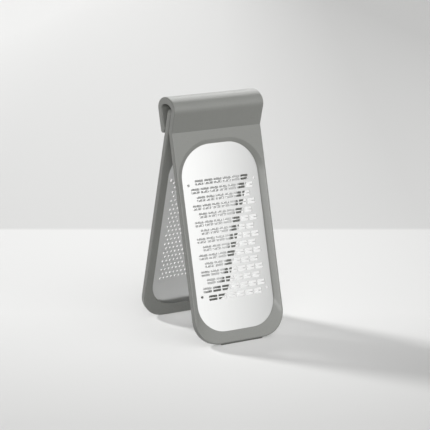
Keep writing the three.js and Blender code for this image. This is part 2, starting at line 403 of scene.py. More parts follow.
@dataclass(frozen=True)
class SatinStainless(Finish):
    """Stainless sheet, 430 grade, with a fine satin grain along its length, as pale as its surroundings.

    The grain lines are about 0.05 mm apart. They are drawn at 0.5 mm, so that they show at all.
    """

    pale: str = "#d4d4d3"
    dark: str = "#cdcecd"
    depth_mm: float = 0.004
    strength: float = 0.2
    detail: float = 3.0
    grain_mm: float = 0.5
    grain_run_mm: float = 45.0
    roughness: tuple[float, float] = (0.28, 0.38)
    lean: float = 0.0  # the paddle's, along which the grain runs

    def material(self) -> bpy.types.Material:
        """Builds the material.

        Returns:
            The material.
        """
        made, add, place = new_material(self.name)
        upright = add("ShaderNodeMapping", {"Rotation": (self.lean, 0.0, 0.0), "Vector": place})
        fine = per_metre(self.grain_mm)
        stretch = (fine, fine, per_metre(self.grain_run_mm))
        drawn = add("ShaderNodeMapping", {"Scale": stretch, "Vector": upright})
        grain = add(NOISE, {"Scale": 1.0, "Detail": self.detail, "Vector": drawn})
        low, high = self.roughness
        gloss = add(MAP_RANGE, {"To Min": low, "To Max": high, "Value": grain})
        self.dress(add, grain, grain, {"Metallic": 1.0, "Roughness": gloss})
        return made


@dataclass(frozen=True)
class SoftRubber(Finish):
    """Thermoplastic rubber, moulded dull: dark grey, with a dry, slightly dusty grip surface."""

    name: str = "soft_rubber_dark_grey"
    # The rubber's own dark grey, which in the gap under a frame's bottom edge also stands in for painted
    # shade
    pale: str = "#646561"
    dark: str = "#5a5b57"
    depth_mm: float = 0.05
    strength: float = 0.4
    detail: float = 4.0
    grip_mm: float = 0.8
    roughness: float = 0.82
    ior: float = 1.52

    def material(self) -> bpy.types.Material:
        """Builds the material.

        Returns:
            The material.
        """
        made, add, place = new_material(self.name)
        grip = add(NOISE, {"Scale": per_metre(self.grip_mm), "Detail": self.detail, "Vector": place})
        self.dress(add, grip, grip, {"IOR": self.ior, "Roughness": self.roughness})
        return made


# The two paddles


@dataclass(frozen=True)
class PaddleSizes:
    """Sizes in millimetres that both paddles share, and the A-frame's opening."""

    front_leg: float = 218.0
    rear_leg: float = 220.0
    open_angle: float = math.radians(30.5)
    half: float = 51.6  # of the paddle's width
    thickness: float = 7.0
    corner: float = 26.0
    tab_corner: float = 3.0
    edge_round: float = 1.0
    edge_break: float = 0.25
    fit: float = 0.3
    window_half: float = 44.25  # of its width
    window_length: float = 189.9
    window_bottom: float = 11.9
    window_bottom_radius: float = 28.0
    window_top_radius: float = 34.0
    window_lip: float = 0.45
    inner_lip: float = 0.7
    lip_undercut: float = 2.4
    plate_gap: float = 0.1
    rim_land: float = 1.6
    dish_top: float = 4.2
    tab_length: float = 22.0
    plate_thickness: float = 0.6
    plate_seat: float = 2.4
    plate_bow: float = 3.0
    plate_tuck: float = 2.5
    pattern_drop: float = 1.15
    foot_length: float = 48.0
    foot_width: float = 4.0
    foot_depth: float = 3.0

    @property
    def window_top(self) -> float:
        """Foot to the top of the window."""
        return self.window_bottom + self.window_length

    @property
    def window_middle(self) -> float:
        """Foot to the middle of the window."""
        return (self.window_bottom + self.window_top) / 2

    @property
    def pattern_centre(self) -> float:
        """Foot to the middle of the cutting pattern."""
        return self.window_middle - self.pattern_drop

    @property
    def bow_radius(self) -> float:
        """Radius of the bowed plate's front."""
        return (self.window_half**2 + self.plate_bow**2) / (2 * self.plate_bow)

    @property
    def plate_crest(self) -> float:
        """Height of the plate's front at its middle."""
        return self.plate_seat + self.plate_bow

    @property
    def dish_radius(self) -> float:
        """Radius of the slope's upper corners at the rim."""
        return self.window_top_radius + self.half - self.rim_land - self.window_half

    @property
    def lean(self) -> tuple[float, float]:
        """How far the paddles lean when they stand open.

        Returns:
            The lean of the coarse and of the fine paddle from upright.
        """
        a, b = self.front_leg, self.rear_leg
        stance = math.sqrt(a**2 + b**2 - 2 * a * b * math.cos(self.open_angle))
        height = a * b * math.sin(self.open_angle) / stance
        front = math.acos(height / a)
        return front, self.open_angle - front

    def plate_front(self, x: np.ndarray) -> np.ndarray:
        """Height of the bowed plate's front over the frame's back face."""
        return self.plate_crest - self.bow_radius + np.sqrt(self.bow_radius**2 - x**2)

    def on_plate(self, outline: np.ndarray, gap: float) -> np.ndarray:
        """An outline's points at a gap over the bowed plate's front."""
        return np.column_stack([outline, self.plate_front(outline[:, 0]) + gap])

    def window(self, margin: float = 0.0) -> np.ndarray:
        """The points of the window's outline, with a margin round it."""
        sides = (self.window_half, self.window_bottom, self.window_top)
        return Outline(*sides, self.window_bottom_radius, self.window_top_radius).grown(margin).points()

    def dish(self, margin: float = 0.0) -> np.ndarray:
        """The points where the slope round the window meets the rim, with a margin round them."""
        sides = (self.half - self.rim_land, self.rim_land, self.window_top + self.dish_top)
        return Outline(*sides, self.corner - self.rim_land, self.dish_radius).grown(margin).points()


@dataclass
class MouldedFrame:
    """A paddle's frame: a rounded rim, the slope into the window, and grooves for the plate and the foot."""

    sizes: PaddleSizes
    slope_steps: tuple[float, ...] = (0.05, 0.35, 0.65, 0.95)
    open_columns: range = range(0)

    def outside(self, inset: float, height: float) -> np.ndarray:
        """The frame's outer outline, drawn in by an inset.

        Args:
            inset: How far it is drawn in.
            height: Its height over the back face.

        Returns:
            One row of x, y and z for each point.
        """
        s = self.sizes
        outline = Outline(s.half, 0.0, s.rear_leg + s.tab_length, s.corner, s.tab_corner)
        return lifted(outline.grown(-inset).points(), height)

    def side_profile(self) -> list[tuple[float, float]]:
        """The frame's rounded side, from its back face to its rim.

        Returns:
            Pairs of an inset from the outline and a height.
        """
        r, thick = self.sizes.edge_round, self.sizes.thickness
        turn = [QUARTER_TURN * i / ROUND_STEPS for i in range(ROUND_STEPS + 1)]
        back = [(r * (1 - math.sin(a)), r * (1 - math.cos(a))) for a in turn]
        rim = [(r * (1 - math.cos(a)), thick - r * (1 - math.sin(a))) for a in turn]
        return back + rim

    def under_lip(self) -> np.ndarray:
        """The window's outline behind the back face's lip, drawn back where the plate bows away from it.

        Returns:
            One row of x and y for each point.
        """
        s = self.sizes
        outline = s.window()
        bowed = (s.plate_front(outline[:, 0]) - s.plate_seat) / s.plate_bow
        outline[:, 1] += np.sign(outline[:, 1] - s.window_middle) * bowed * s.lip_undercut
        return outline

    def window_rings(self) -> list[np.ndarray]:
        """The slope and the window, with the groove for the plate's edge.

        Returns:
            Rings from the rim's inner edge down the slope and past the groove to the back face.
        """
        s = self.sizes
        window, grooved = s.window(), s.window(s.plate_tuck + s.fit)
        rim, lip = lifted(s.dish(), s.thickness), s.on_plate(window, s.window_lip)
        behind = -s.plate_thickness - s.plate_gap
        return [
            lifted(s.dish(s.edge_break), s.thickness),
            *((1 - t) * rim + t * lip for t in self.slope_steps),
            s.on_plate(window, s.window_lip - s.edge_break),
            s.on_plate(window, s.plate_gap),
            s.on_plate(grooved, s.plate_gap),
            s.on_plate(grooved, behind),
            s.on_plate(self.under_lip(), behind),
            lifted(s.window(-s.inner_lip), s.edge_break),
            lifted(s.window(s.edge_break - s.inner_lip), 0.0),
        ]

    def shell(self) -> tuple[Shell, list[list[int]]]:
        """Builds the frame's rings.

        Returns:
            The shell, and the numbers of the points on each ring of its rounded side.
        """
        shell = Shell()
        side = [shell.add(self.outside(inset, height)) for inset, height in self.side_profile()]
        window = [shell.add(ring) for ring in self.window_rings()]
        for one, other in zip(side, side[1:]):
            shell.bridge(one, other, self.open_columns)
        for one, other in zip([side[-1], *window], [*window, side[0]]):
            shell.bridge(one, other)
        return shell, side

    def build(self, name: str) -> bpy.types.Object:
        """Makes the frame, lying flat, with the foot's groove cut in its bottom edge.

        Args:
            name: The piece's name.

        Returns:
            The piece, in millimetres.
        """
        s = self.sizes
        piece = new_object(name, self.shell()[0].mesh(name))
        reach = (s.foot_length / 2 + s.fit, s.foot_depth, s.foot_width / 2 + s.fit)
        place = Matrix.Translation((0, 0, s.thickness / 2)) @ Matrix.Diagonal((*reach, 1))
        block = bpy.data.meshes.new("foot_groove")
        work = bmesh.new()
        bmesh.ops.create_cube(work, size=2, matrix=place)  # its half sizes are the matrix's
        work.to_mesh(block)
        work.free()
        groove = new_object("foot_groove", block)
        cut = piece.modifiers.new("foot groove", "BOOLEAN")
        cut.operation = "DIFFERENCE"
        cut.solver = "EXACT"
        cut.object = groove
        settle(piece)
        bpy.data.objects.remove(groove)
        bpy.data.meshes.remove(block)
        crisp_edges(piece.data)
        even = piece.modifiers.new("even shading", "WEIGHTED_NORMAL")
        even.keep_sharp = True
        settle(piece)
        return piece


@dataclass
class HookedFrame(MouldedFrame):
    """The coarse paddle's frame, whose top folds over into a full-width hook with a rounded lip."""

    wall: float = 7.2
    headroom: float = 5.2
    rock_clearance: float = 1.3
    wall_steps: tuple[float, ...] = (0.04, 0.5)
    open_columns: range = range(TOP_RIGHT, TOP_LEFT)

    @property
    def mouth(self) -> float:
        """Width of the hook's channel at its mouth."""
        return self.sizes.thickness + self.sizes.fit + self.rock_clearance

    @property
    def crease(self) -> float:
        """Foot to the crease under the hook, on the rim's face.

        Returns:
            The distance along the paddle.
        """
        s = self.sizes
        sine, cosine = math.sin(s.open_angle), math.cos(s.open_angle)
        return s.front_leg - self.wall * sine + (s.thickness - self.wall * cosine) / sine * cosine

    def outside(self, inset: float, height: float) -> np.ndarray:
        """The outer outline up to the plane where the hook begins.

        Args:
            inset: How far it is drawn in.
            height: Its height over the back face.

        Returns:
            One row of x, y and z for each point.
        """
        s = self.sizes
        top = s.front_leg + (self.crease - s.front_leg) * height / s.thickness
        outline = Outline(s.half - inset, inset, top, s.corner - inset, s.dish_radius, square_top=True)
        return lifted(outline.points(), height)

    def arch(self, wall: float) -> np.ndarray:
        """The hook's curve at a distance outside its channel.

        Args:
            wall: 0 for the channel's own surface, or the wall's thickness for the outer one.

        Returns:
            Points from the front wall over to the lip, one row of y and z for each.
        """
        s = self.sizes
        sine, cosine = math.sin(s.open_angle / 2), math.cos(s.open_angle / 2)
        rise = self.headroom + wall
        to_walls = self.mouth / 2 + wall + s.tab_length * sine
        span = math.sqrt(to_walls**2 - (rise * sine) ** 2) / cosine
        end = math.atan(rise / span * math.tan(s.open_angle / 2))
        turn = np.linspace(math.pi + end, -end, ARCH_STEPS + 1)
        level = self.mouth / 2 / cosine + span * np.cos(turn)
        over = s.tab_length + rise * np.sin(turn)
        return np.column_stack([s.front_leg + sine * level + cosine * over, sine * over - cosine * level])

    def stations(self) -> list[tuple[np.ndarray, np.ndarray, float]]:
        """Cross-sections along the hook, from the crease over the arch to the lip's tip.

        Returns:
            For each, the outer and the inner point as y and z, and how far the ends draw in.
        """
        s = self.sizes
        outer, inner = self.arch(self.wall), self.arch(0)
        crease, root = np.array([self.crease, s.thickness]), np.array([s.front_leg, 0.0])
        shares = [(1 - t, t) for t in self.wall_steps]
        rows = [(a * crease + t * outer[0], a * root + t * inner[0], 0.0) for a, t in shares]
        rows += [(a, b, 0.0) for a, b in zip(outer, inner)]
        radius = self.wall / 2
        middle = -(self.mouth + radius)
        for i in range(TIP_STEPS + 1):
            turn = QUARTER_TURN * i / TIP_STEPS
            up = s.front_leg + radius * (1 - math.sin(turn))
            reach = radius * math.cos(turn)
            left = max(0.0, 1 - (up - s.front_leg) / s.edge_round)
            drawn_in = s.edge_round * (1 - math.sqrt(1 - left**2))
            rows.append((np.array([up, middle - reach]), np.array([up, middle + reach]), drawn_in))
        return rows

    def ring(self, outer: np.ndarray, inner: np.ndarray, drawn_in: float, edge: np.ndarray) -> np.ndarray:
        """One ring round the hook's wall: its outer side, left end, inner side and right end.

        Args:
            outer: The cross-section's outer point as y and z.
            inner: Its inner point.
            drawn_in: How far the ends draw in.
            edge: x of the points across the hook's root.

        Returns:
            One row of x, y and z for each point.
        """
        s = self.sizes
        wall = float(np.linalg.norm(inner - outer))
        through = (inner - outer) / max(wall, WELD)
        shrink = min(1.0, wall / 2 / s.edge_round)
        reach = s.half - drawn_in
        spread = edge * (reach - s.edge_round * shrink) / (s.half - s.edge_round)
        end = []
        for inset, height in self.side_profile()[1:-1]:
            near_rim = height > s.thickness / 2
            depth = (s.thickness - height if near_rim else height) * shrink
            at = outer + through * depth if near_rim else inner - through * depth
            end.append((reach - inset * shrink, *at))
        right = np.array(end)
        left = right[::-1] * (-1, 1, 1)
        front, back = [(x, *outer) for x in spread], [(x, *inner) for x in spread[::-1]]
        return np.array([*front, *left, *back, *right])

    def shell(self) -> tuple[Shell, list[list[int]]]:
        """Builds the frame's rings and the hook on top of them.

        Returns:
            The shell, and the numbers of the points on each ring of its rounded side.
        """
        shell, side = super().shell()
        across = list(range(TOP_RIGHT, TOP_LEFT + 1))
        edge = self.outside(self.sizes.edge_round, self.sizes.thickness)[across, 0]
        loop = [side[-1][i] for i in across] + [ring[TOP_LEFT] for ring in side[-2:0:-1]]
        loop += [side[0][i] for i in reversed(across)] + [ring[TOP_RIGHT] for ring in side[1:-1]]
        for outer, inner, drawn_in in self.stations():
            after = shell.add(self.ring(outer, inner, drawn_in, edge))
            shell.bridge(loop, after)
            loop = after
        return shell, side


# Geometry Nodes

PLACING = {
    "Columns": "Int",
    "Long Rows": "Int",
    "Short Rows": "Int",
    "Column Pitch": "Float",
    "Row Pitch": "Float",
    "Pattern Centre": "Float",
    "Bow Radius": "Float",
    "Plate Crest": "Float",
}
DRILLING = {"Hole Diameter": "Float", "Hole Sides": "Int", "Drill Length": "Float"}
OPENINGS = dict.fromkeys(("Opening Length", "Opening Width", "Opening Corner", "Punch Length"), "Float")
BLADES = dict.fromkeys(
    ("Blade Width", "Blade Rise", "Blade Gauge", "Blade Ramp", "Blade Root", "Blade Set"), "Float"
)


def new_tree(name: str, inputs: dict[str, str], outputs: dict[str, str]) -> tuple[Any, Adder, Any]:
    """A new Geometry Nodes tree with named inputs and outputs.

    Args:
        name: The tree's name.
        inputs: Kinds of input socket by name.
        outputs: Kinds of output socket by name.

    Returns:
        The tree, what adds nodes to it, and the sockets that give its inputs.
    """
    tree = bpy.data.node_groups.new(name, "GeometryNodeTree")
    for in_out, sockets in (("INPUT", inputs), ("OUTPUT", outputs)):
        for socket, kind in sockets.items():
            tree.interface.new_socket(socket, in_out=in_out, socket_type="NodeSocket" + kind)
    add = partial(add_node, tree)
    return tree, add, add("NodeGroupInput").outputs


def places_tree() -> Any:
    """A tree that sets out staggered places on the bowed plate: long rows and rows one shorter by turns.

    Returns:
        The tree, which gives the places and the turn that stands a shape upright on the bow.
    """
    tree, add, sent = new_tree("staggered places", PLACING, {"Places": "Geometry", "Turn": "Vector"})
    fewer = add(MATH, {OP: "SUBTRACT", 0: sent["Columns"], 1: 1.0})
    double = add(MATH, {OP: "MULTIPLY", 0: sent["Row Pitch"], 1: 2.0})
    grids = []
    for columns, rows in ((sent["Columns"], sent["Long Rows"]), (fewer, sent["Short Rows"])):
        grid = {"Vertices X": columns, "Vertices Y": rows}
        for size, count, pitch in (("Size X", columns, sent["Column Pitch"]), ("Size Y", rows, double)):
            gaps = add(MATH, {OP: "SUBTRACT", 0: count, 1: 1.0})
            grid[size] = add(MATH, {OP: "MULTIPLY", 0: gaps, 1: pitch})
        grids.append(add("GeometryNodeMeshGrid", grid))
    both = add("GeometryNodeJoinGeometry", {"Geometry": grids})
    axes = add("ShaderNodeSeparateXYZ", {0: add("GeometryNodeInputPosition")}).outputs
    radius = sent["Bow Radius"]
    share = add(MATH, {OP: "DIVIDE", 0: axes["X"], 1: radius})
    turn = add(MATH, {OP: "ARCSINE", 0: share})
    cosine = add(MATH, {OP: "COSINE", 0: turn})
    sink = add(MATH, {OP: "SUBTRACT", 0: cosine, 1: 1.0})
    height = add(MATH, {OP: "MULTIPLY_ADD", 0: sink, 1: radius, 2: sent["Plate Crest"]})
    up = add(MATH, {OP: "ADD", 0: axes["Y"], 1: sent["Pattern Centre"]})
    where = add(COMBINE, {"X": axes["X"], "Y": up, "Z": height})
    placed = add("GeometryNodeSetPosition", {"Geometry": both, "Position": where})
    add("NodeGroupOutput", {"Places": placed, "Turn": add(COMBINE, {"Y": turn})})
    return tree


def slab_tree() -> Any:
    """A tree that thickens an open surface into a closed slab.

    Returns:
        The tree.
    """
    inputs = {"Surface": "Geometry", "Thickness": "Float"}
    tree, add, sent = new_tree("closed slab", inputs, {"Slab": "Geometry"})
    surface = sent["Surface"]
    growth = {"mode": "FACES", "Individual": False, "Mesh": surface, "Offset Scale": sent["Thickness"]}
    raised = add("GeometryNodeExtrudeMesh", growth)
    under = add("GeometryNodeFlipFaces", {"Mesh": surface})
    both = add("GeometryNodeJoinGeometry", {"Geometry": [raised, under]})
    closed = add("GeometryNodeMergeByDistance", {"Distance": WELD, "Geometry": both})
    add("NodeGroupOutput", {"Slab": closed})
    return tree


def repeat_on(add: Adder, places: Any, shape: Any) -> Any:
    """Repeats a shape at every place of a pattern.

    Args:
        add: What adds nodes to the tree.
        places: A node of the staggered places.
        shape: The node of the shape.

    Returns:
        The node of the repeated shapes, realised.
    """
    sown = {"Points": places.outputs["Places"], "Instance": shape, "Rotation": places.outputs["Turn"]}
    return add(REALIZE, {0: add("GeometryNodeInstanceOnPoints", sown)})


def finish_tree(add: Adder, body: Any, material: Any) -> None:
    """Ends a plate's tree: crisp edges, instances realised and the material set.

    Args:
        add: What adds nodes to it.
        body: The node of the plate.
        material: The socket of its material.
    """
    angle = add("GeometryNodeInputMeshEdgeAngle").outputs["Unsigned Angle"]
    gentle = add("FunctionNodeCompare", {OP: "LESS_THAN", 0: angle, 1: CREASE_ANGLE})
    faces = add("GeometryNodeSetShadeSmooth", {"domain": "FACE", 0: body})
    edges = add("GeometryNodeSetShadeSmooth", {"domain": "EDGE", 0: faces, "Shade Smooth": gentle})
    dressed = add("GeometryNodeSetMaterial", {0: add(REALIZE, {0: edges}), "Material": material})
    add("NodeGroupOutput", {0: dressed})


def perforation_tree(places: Any) -> Any:
    """A tree that drills a plate with round holes in staggered rows.

    Args:
        places: The tree of staggered places.

    Returns:
        The tree.
    """
    inputs = {"Plate": "Geometry", **PLACING, **DRILLING, "Material": "Material"}
    tree, add, sent = new_tree("perforation", inputs, {"Plate": "Geometry"})
    set_out = add(GROUP, {"node_tree": places, **{name: sent[name] for name in PLACING}})
    radius = add(MATH, {OP: "MULTIPLY", 0: sent["Hole Diameter"], 1: 0.5})
    bit = {"Vertices": sent["Hole Sides"], "Radius": radius, "Depth": sent["Drill Length"]}
    drills = repeat_on(add, set_out, add("GeometryNodeMeshCylinder", bit))
    cut = {OP: "DIFFERENCE", "solver": "EXACT", "Mesh 1": sent["Plate"], "Mesh 2": drills}
    finish_tree(add, add(BOOLEAN, cut), sent["Material"])
    return tree


def blade_tree(places: Any, slab: Any) -> Any:
    """A tree that pierces a plate with openings and springs a raised two-way blade across each.

    Args:
        places: The tree of staggered places.
        slab: The tree that thickens a surface.

    Returns:
        The tree.
    """
    inputs = {"Plate": "Geometry", **PLACING, **OPENINGS, **BLADES, "Material": "Material"}
    tree, add, sent = new_tree("two-way blades", inputs, {"Plate": "Geometry"})
    set_out = add(GROUP, {"node_tree": places, **{name: sent[name] for name in PLACING}})
    opening, root, gauge = sent["Opening Length"], sent["Blade Root"], sent["Blade Gauge"]

    # The openings
    sides = {"Width": opening, "Height": sent["Opening Width"]}
    rectangle = add("GeometryNodeCurvePrimitiveQuadrilateral", sides)
    corners = {"mode": "POLY", "Count": OPENING_ROUND, "Curve": rectangle, "Radius": sent["Opening Corner"]}
    rounded = add("GeometryNodeFilletCurve", corners)
    filled = add("GeometryNodeFillCurve", {"mode": "NGONS", 0: rounded})
    punch = add(GROUP, {"node_tree": slab, "Surface": filled, "Thickness": sent["Punch Length"]})
    below = add(MATH, {OP: "MULTIPLY", 0: sent["Punch Length"], 1: -0.5})
    drop = add(COMBINE, {"Z": below})
    centred = add("GeometryNodeTransform", {"Geometry": punch, "Translation": drop})
    punches = repeat_on(add, set_out, centred)
    cut = {OP: "DIFFERENCE", "solver": "EXACT", "Mesh 1": sent["Plate"], "Mesh 2": punches}
    pierced = add(BOOLEAN, cut)

    # The blades
    length = add(MATH, {OP: "MULTIPLY_ADD", 0: root, 1: 2.0, 2: opening})
    along, across = BLADE_POINTS
    flat = {"Vertices X": along, "Vertices Y": across, "Size X": length, "Size Y": sent["Blade Width"]}
    strip = add("GeometryNodeMeshGrid", flat)
    axes = add("ShaderNodeSeparateXYZ", {0: add("GeometryNodeInputPosition")}).outputs
    off = add(MATH, {OP: "ABSOLUTE", 0: axes["X"]})
    from_end = add(MATH, {OP: "MULTIPLY_ADD", 0: opening, 1: 0.5, 2: root})
    run = add(MATH, {OP: "SUBTRACT", 0: from_end, 1: off})
    climb = {"From Min": root, "From Max": sent["Blade Ramp"], "Value": run}
    ramp = add(MAP_RANGE, {"interpolation_type": "SMOOTHSTEP", **climb})
    sunk = add(MATH, {OP: "ADD", 0: gauge, 1: sent["Blade Set"]})
    rise = add(MATH, {OP: "ADD", 0: sent["Blade Rise"], 1: sent["Blade Set"]})
    risen = add(MATH, {OP: "MULTIPLY", 0: ramp, 1: rise})
    lift = add(MATH, {OP: "SUBTRACT", 0: risen, 1: sunk})
    offset = add(COMBINE, {"Z": lift})
    bent = add("GeometryNodeSetPosition", {"Geometry": strip, "Offset": offset})
    blade = add(GROUP, {"node_tree": slab, "Surface": bent, "Thickness": gauge})
    blades = repeat_on(add, set_out, blade)
    joined = add(BOOLEAN, {OP: "UNION", "solver": "EXACT", "Mesh 2": [pierced, blades]})
    finish_tree(add, joined, sent["Material"])
    return tree


# Plates and feet


@dataclass
class BowedPlate:
    """A stainless plate bowed outwards, with its edge in the frame's groove and holes that locate it."""

    sizes: PaddleSizes
    locating_diameter: float = 2.8
    locating_span: tuple[float, float] = (76.2, 112.8)
    locating_sides: int = 20
    drill_length: float = 4.0

    def blank(self, name: str) -> bpy.types.Mesh:
        """Makes the plain bowed sheet.

        Args:
            name: The mesh's name.

        Returns:
            A closed mesh of narrow columns.
        """
        s = self.sizes
        half = s.window_half + s.plate_tuck
        x = np.linspace(-half, half, PLATE_COLUMNS + 1)
        low = self.edge(x, s.window_bottom_radius + s.plate_tuck) + s.window_bottom - s.plate_tuck
        high = s.window_top + s.plate_tuck - self.edge(x, s.window_top_radius + s.plate_tuck)
        shell = Shell()
        loops = []
        for share in np.linspace(0, 1, PLATE_ROWS + 1):
            y = (1 - share) * low + share * high
            front = np.column_stack([x, y, s.plate_front(x)])
            back = front - (0, 0, s.plate_thickness)
            loops.append(shell.add(np.concatenate([front, back[::-1]])))
        for one, other in zip(loops, loops[1:]):
            shell.bridge(one, other)
        for loop in (loops[0], loops[-1]):
            pairs = list(zip(loop, reversed(loop)))[: PLATE_COLUMNS + 1]
            shell.faces += [(a, after, under, b) for (a, b), (after, under) in zip(pairs, pairs[1:])]
        return shell.mesh(name)

    def edge(self, x: np.ndarray, radius: float) -> np.ndarray:
        """How far the plate's rounded corners draw its end in at each x."""
        into = np.clip(np.abs(x) - (self.sizes.window_half + self.sizes.plate_tuck - radius), 0, radius)
        return radius - np.sqrt(radius**2 - into**2)

    def placing(self, columns: int, rows: tuple[int, int], pitch: tuple[float, float]) -> dict[str, Any]:
        """Values for the staggered places.

        Args:
            columns: Holes in a long row.
            rows: Counts of long and of short rows.
            pitch: Distances between columns, and between one row and the next.

        Returns:
            Values by the name of the tree's input.
        """
        s = self.sizes
        values = (columns, *rows, *pitch, s.pattern_centre, s.bow_radius, s.plate_crest)
        return dict(zip(PLACING, values))

    def locating(self) -> dict[str, Any]:
        """Values for the four locating holes.

        Returns:
            Values by the name of the tree's input.
        """
        across, along = self.locating_span
        drilling = dict(zip(DRILLING, (self.locating_diameter, self.locating_sides, self.drill_length)))
        return {**self.placing(2, (2, 0), (across, along / 2)), **drilling}

    def build(self, name: str, steps: list[tuple[Any, dict[str, Any]]], finish: bpy.types.Material) -> Any:
        """Makes the plate, lying flat.

        Args:
            name: The piece's name.
            steps: Trees that work the plate, each with its values.
            finish: The plate's material.

        Returns:
            The piece, in millimetres.
        """
        piece = new_object(name, self.blank(name))
        for tree, values in steps:
            worked = piece.modifiers.new(tree.name, "NODES")
            worked.node_group = tree
            given = {**values, "Material": finish}
            for socket in tree.interface.items_tree:
                if socket.in_out == "INPUT" and socket.name in given:
                    worked[socket.identifier] = given[socket.name]
        settle(piece)
        return piece


@dataclass
class CoarsePlate(BowedPlate):
    """The coarse plate: openings in staggered rows, each with a raised blade that cuts both ways."""

    columns: int = 7
    rows: tuple[int, int] = (7, 8)
    pitch: tuple[float, float] = (10.5, 8.34)
    opening: tuple[float, float] = (9.2, 5.35)
    opening_corner: float = 0.9
    blade_width: float = 1.0
    blade_rise: float = 0.5
    blade_gauge: float = 0.35
    blade_ramp: float = 4.9
    blade_root: float = 0.3
    blade_set: float = 0.06

    def blades(self) -> dict[str, Any]:
        """Values for the openings and the two-way blades.

        Returns:
            Values by the name of the tree's input.
        """
        openings = dict(zip(OPENINGS, (*self.opening, self.opening_corner, self.drill_length)))
        bends = (self.blade_ramp, self.blade_root, self.blade_set)
        blades = dict(zip(BLADES, (self.blade_width, self.blade_rise, self.blade_gauge, *bends)))
        return {**self.placing(self.columns, self.rows, self.pitch), **openings, **blades}


@dataclass
class FinePlate(BowedPlate):
    """The fine plate: small round holes in staggered rows."""

    columns: int = 16
    rows: tuple[int, int] = (13, 12)
    pitch: tuple[float, float] = (4.58, 5.145)
    diameter: float = 2.25
    sides: int = 14
    pattern_rise: float = 1.0

    def locating(self) -> dict[str, Any]:
        """Values for the upper pair of locating holes, the only ones that show."""
        upper = self.sizes.pattern_centre + self.locating_span[1] / 2
        return {**super().locating(), "Long Rows": 1, "Pattern Centre": upper}

    def holes(self) -> dict[str, Any]:
        """Values for the fine holes.

        Returns:
            Values by the name of the tree's input.
        """
        raised = {"Pattern Centre": self.sizes.pattern_centre + self.pattern_rise}
        drilling = dict(zip(DRILLING, (self.diameter, self.sides, self.drill_length)))
        return {**self.placing(self.columns, self.rows, self.pitch), **raised, **drilling}


@dataclass
class FootStrip:
    """A soft strip let into a frame's bottom edge, whose underside lies level."""

    sizes: PaddleSizes
    lean: float
    edge_round: float = 0.35
    edge_fullness: float = 0.5  # a round edge

    def build(self, name: str) -> bpy.types.Object:
        """Makes the strip, under a paddle that lies flat.

        Args:
            name: The piece's name.

        Returns:
            The piece, in millimetres.
        """
        s, slope = self.sizes, math.tan(self.lean)
        near = (s.thickness - s.foot_width) / 2
        far, top = near + s.foot_width, s.foot_depth - s.fit
        profile = [(top, near), (top, far), (-far * slope, far), (-near * slope, near)]
        work = bmesh.new()
        ends = [[work.verts.new((side * s.foot_length / 2, y, z)) for y, z in profile] for side in (-1, 1)]
        for i in range(len(profile)):
            after = (i + 1) % len(profile)
            work.faces.new((ends[0][i], ends[0][after], ends[1][after], ends[1][i]))
        for end in ends:
            work.faces.new(end)
        bmesh.ops.recalc_face_normals(work, faces=work.faces)
        rounding = {"offset": self.edge_round, "segments": STRIP_ROUND, "profile": self.edge_fullness}
        bmesh.ops.bevel(work, geom=work.edges, affect="EDGES", **rounding)
        mesh = bpy.data.meshes.new(name)
        work.to_mesh(mesh)
        work.free()
        crisp_edges(mesh)
        return new_object(name, mesh)


# Assembly


@dataclass
class Paddle:
    """One paddle of the grater, which stands its flat pieces up and dresses the CAD body."""

    body: Body
    prefix: str
    stand: Matrix

    def dress(self, piece: bpy.types.Object, node: str, slot: Slot, finish: bpy.types.Material) -> None:
        """Stands a piece up on its paddle in place of the CAD node.

        Args:
            piece: The flat piece, in millimetres.
            node: The end of the CAD node's name.
            slot: The record's material slot; not used.
            finish: The piece's material.
        """
        piece.data.transform(self.stand)
        piece.data.materials.clear()
        piece.data.materials.append(finish)
        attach(piece, self.body.value)
        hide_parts(f"{self.prefix}_{node}")
        LOG.info("%s: %d faces, rides on %s", piece.name, len(piece.data.polygons), self.body.value)


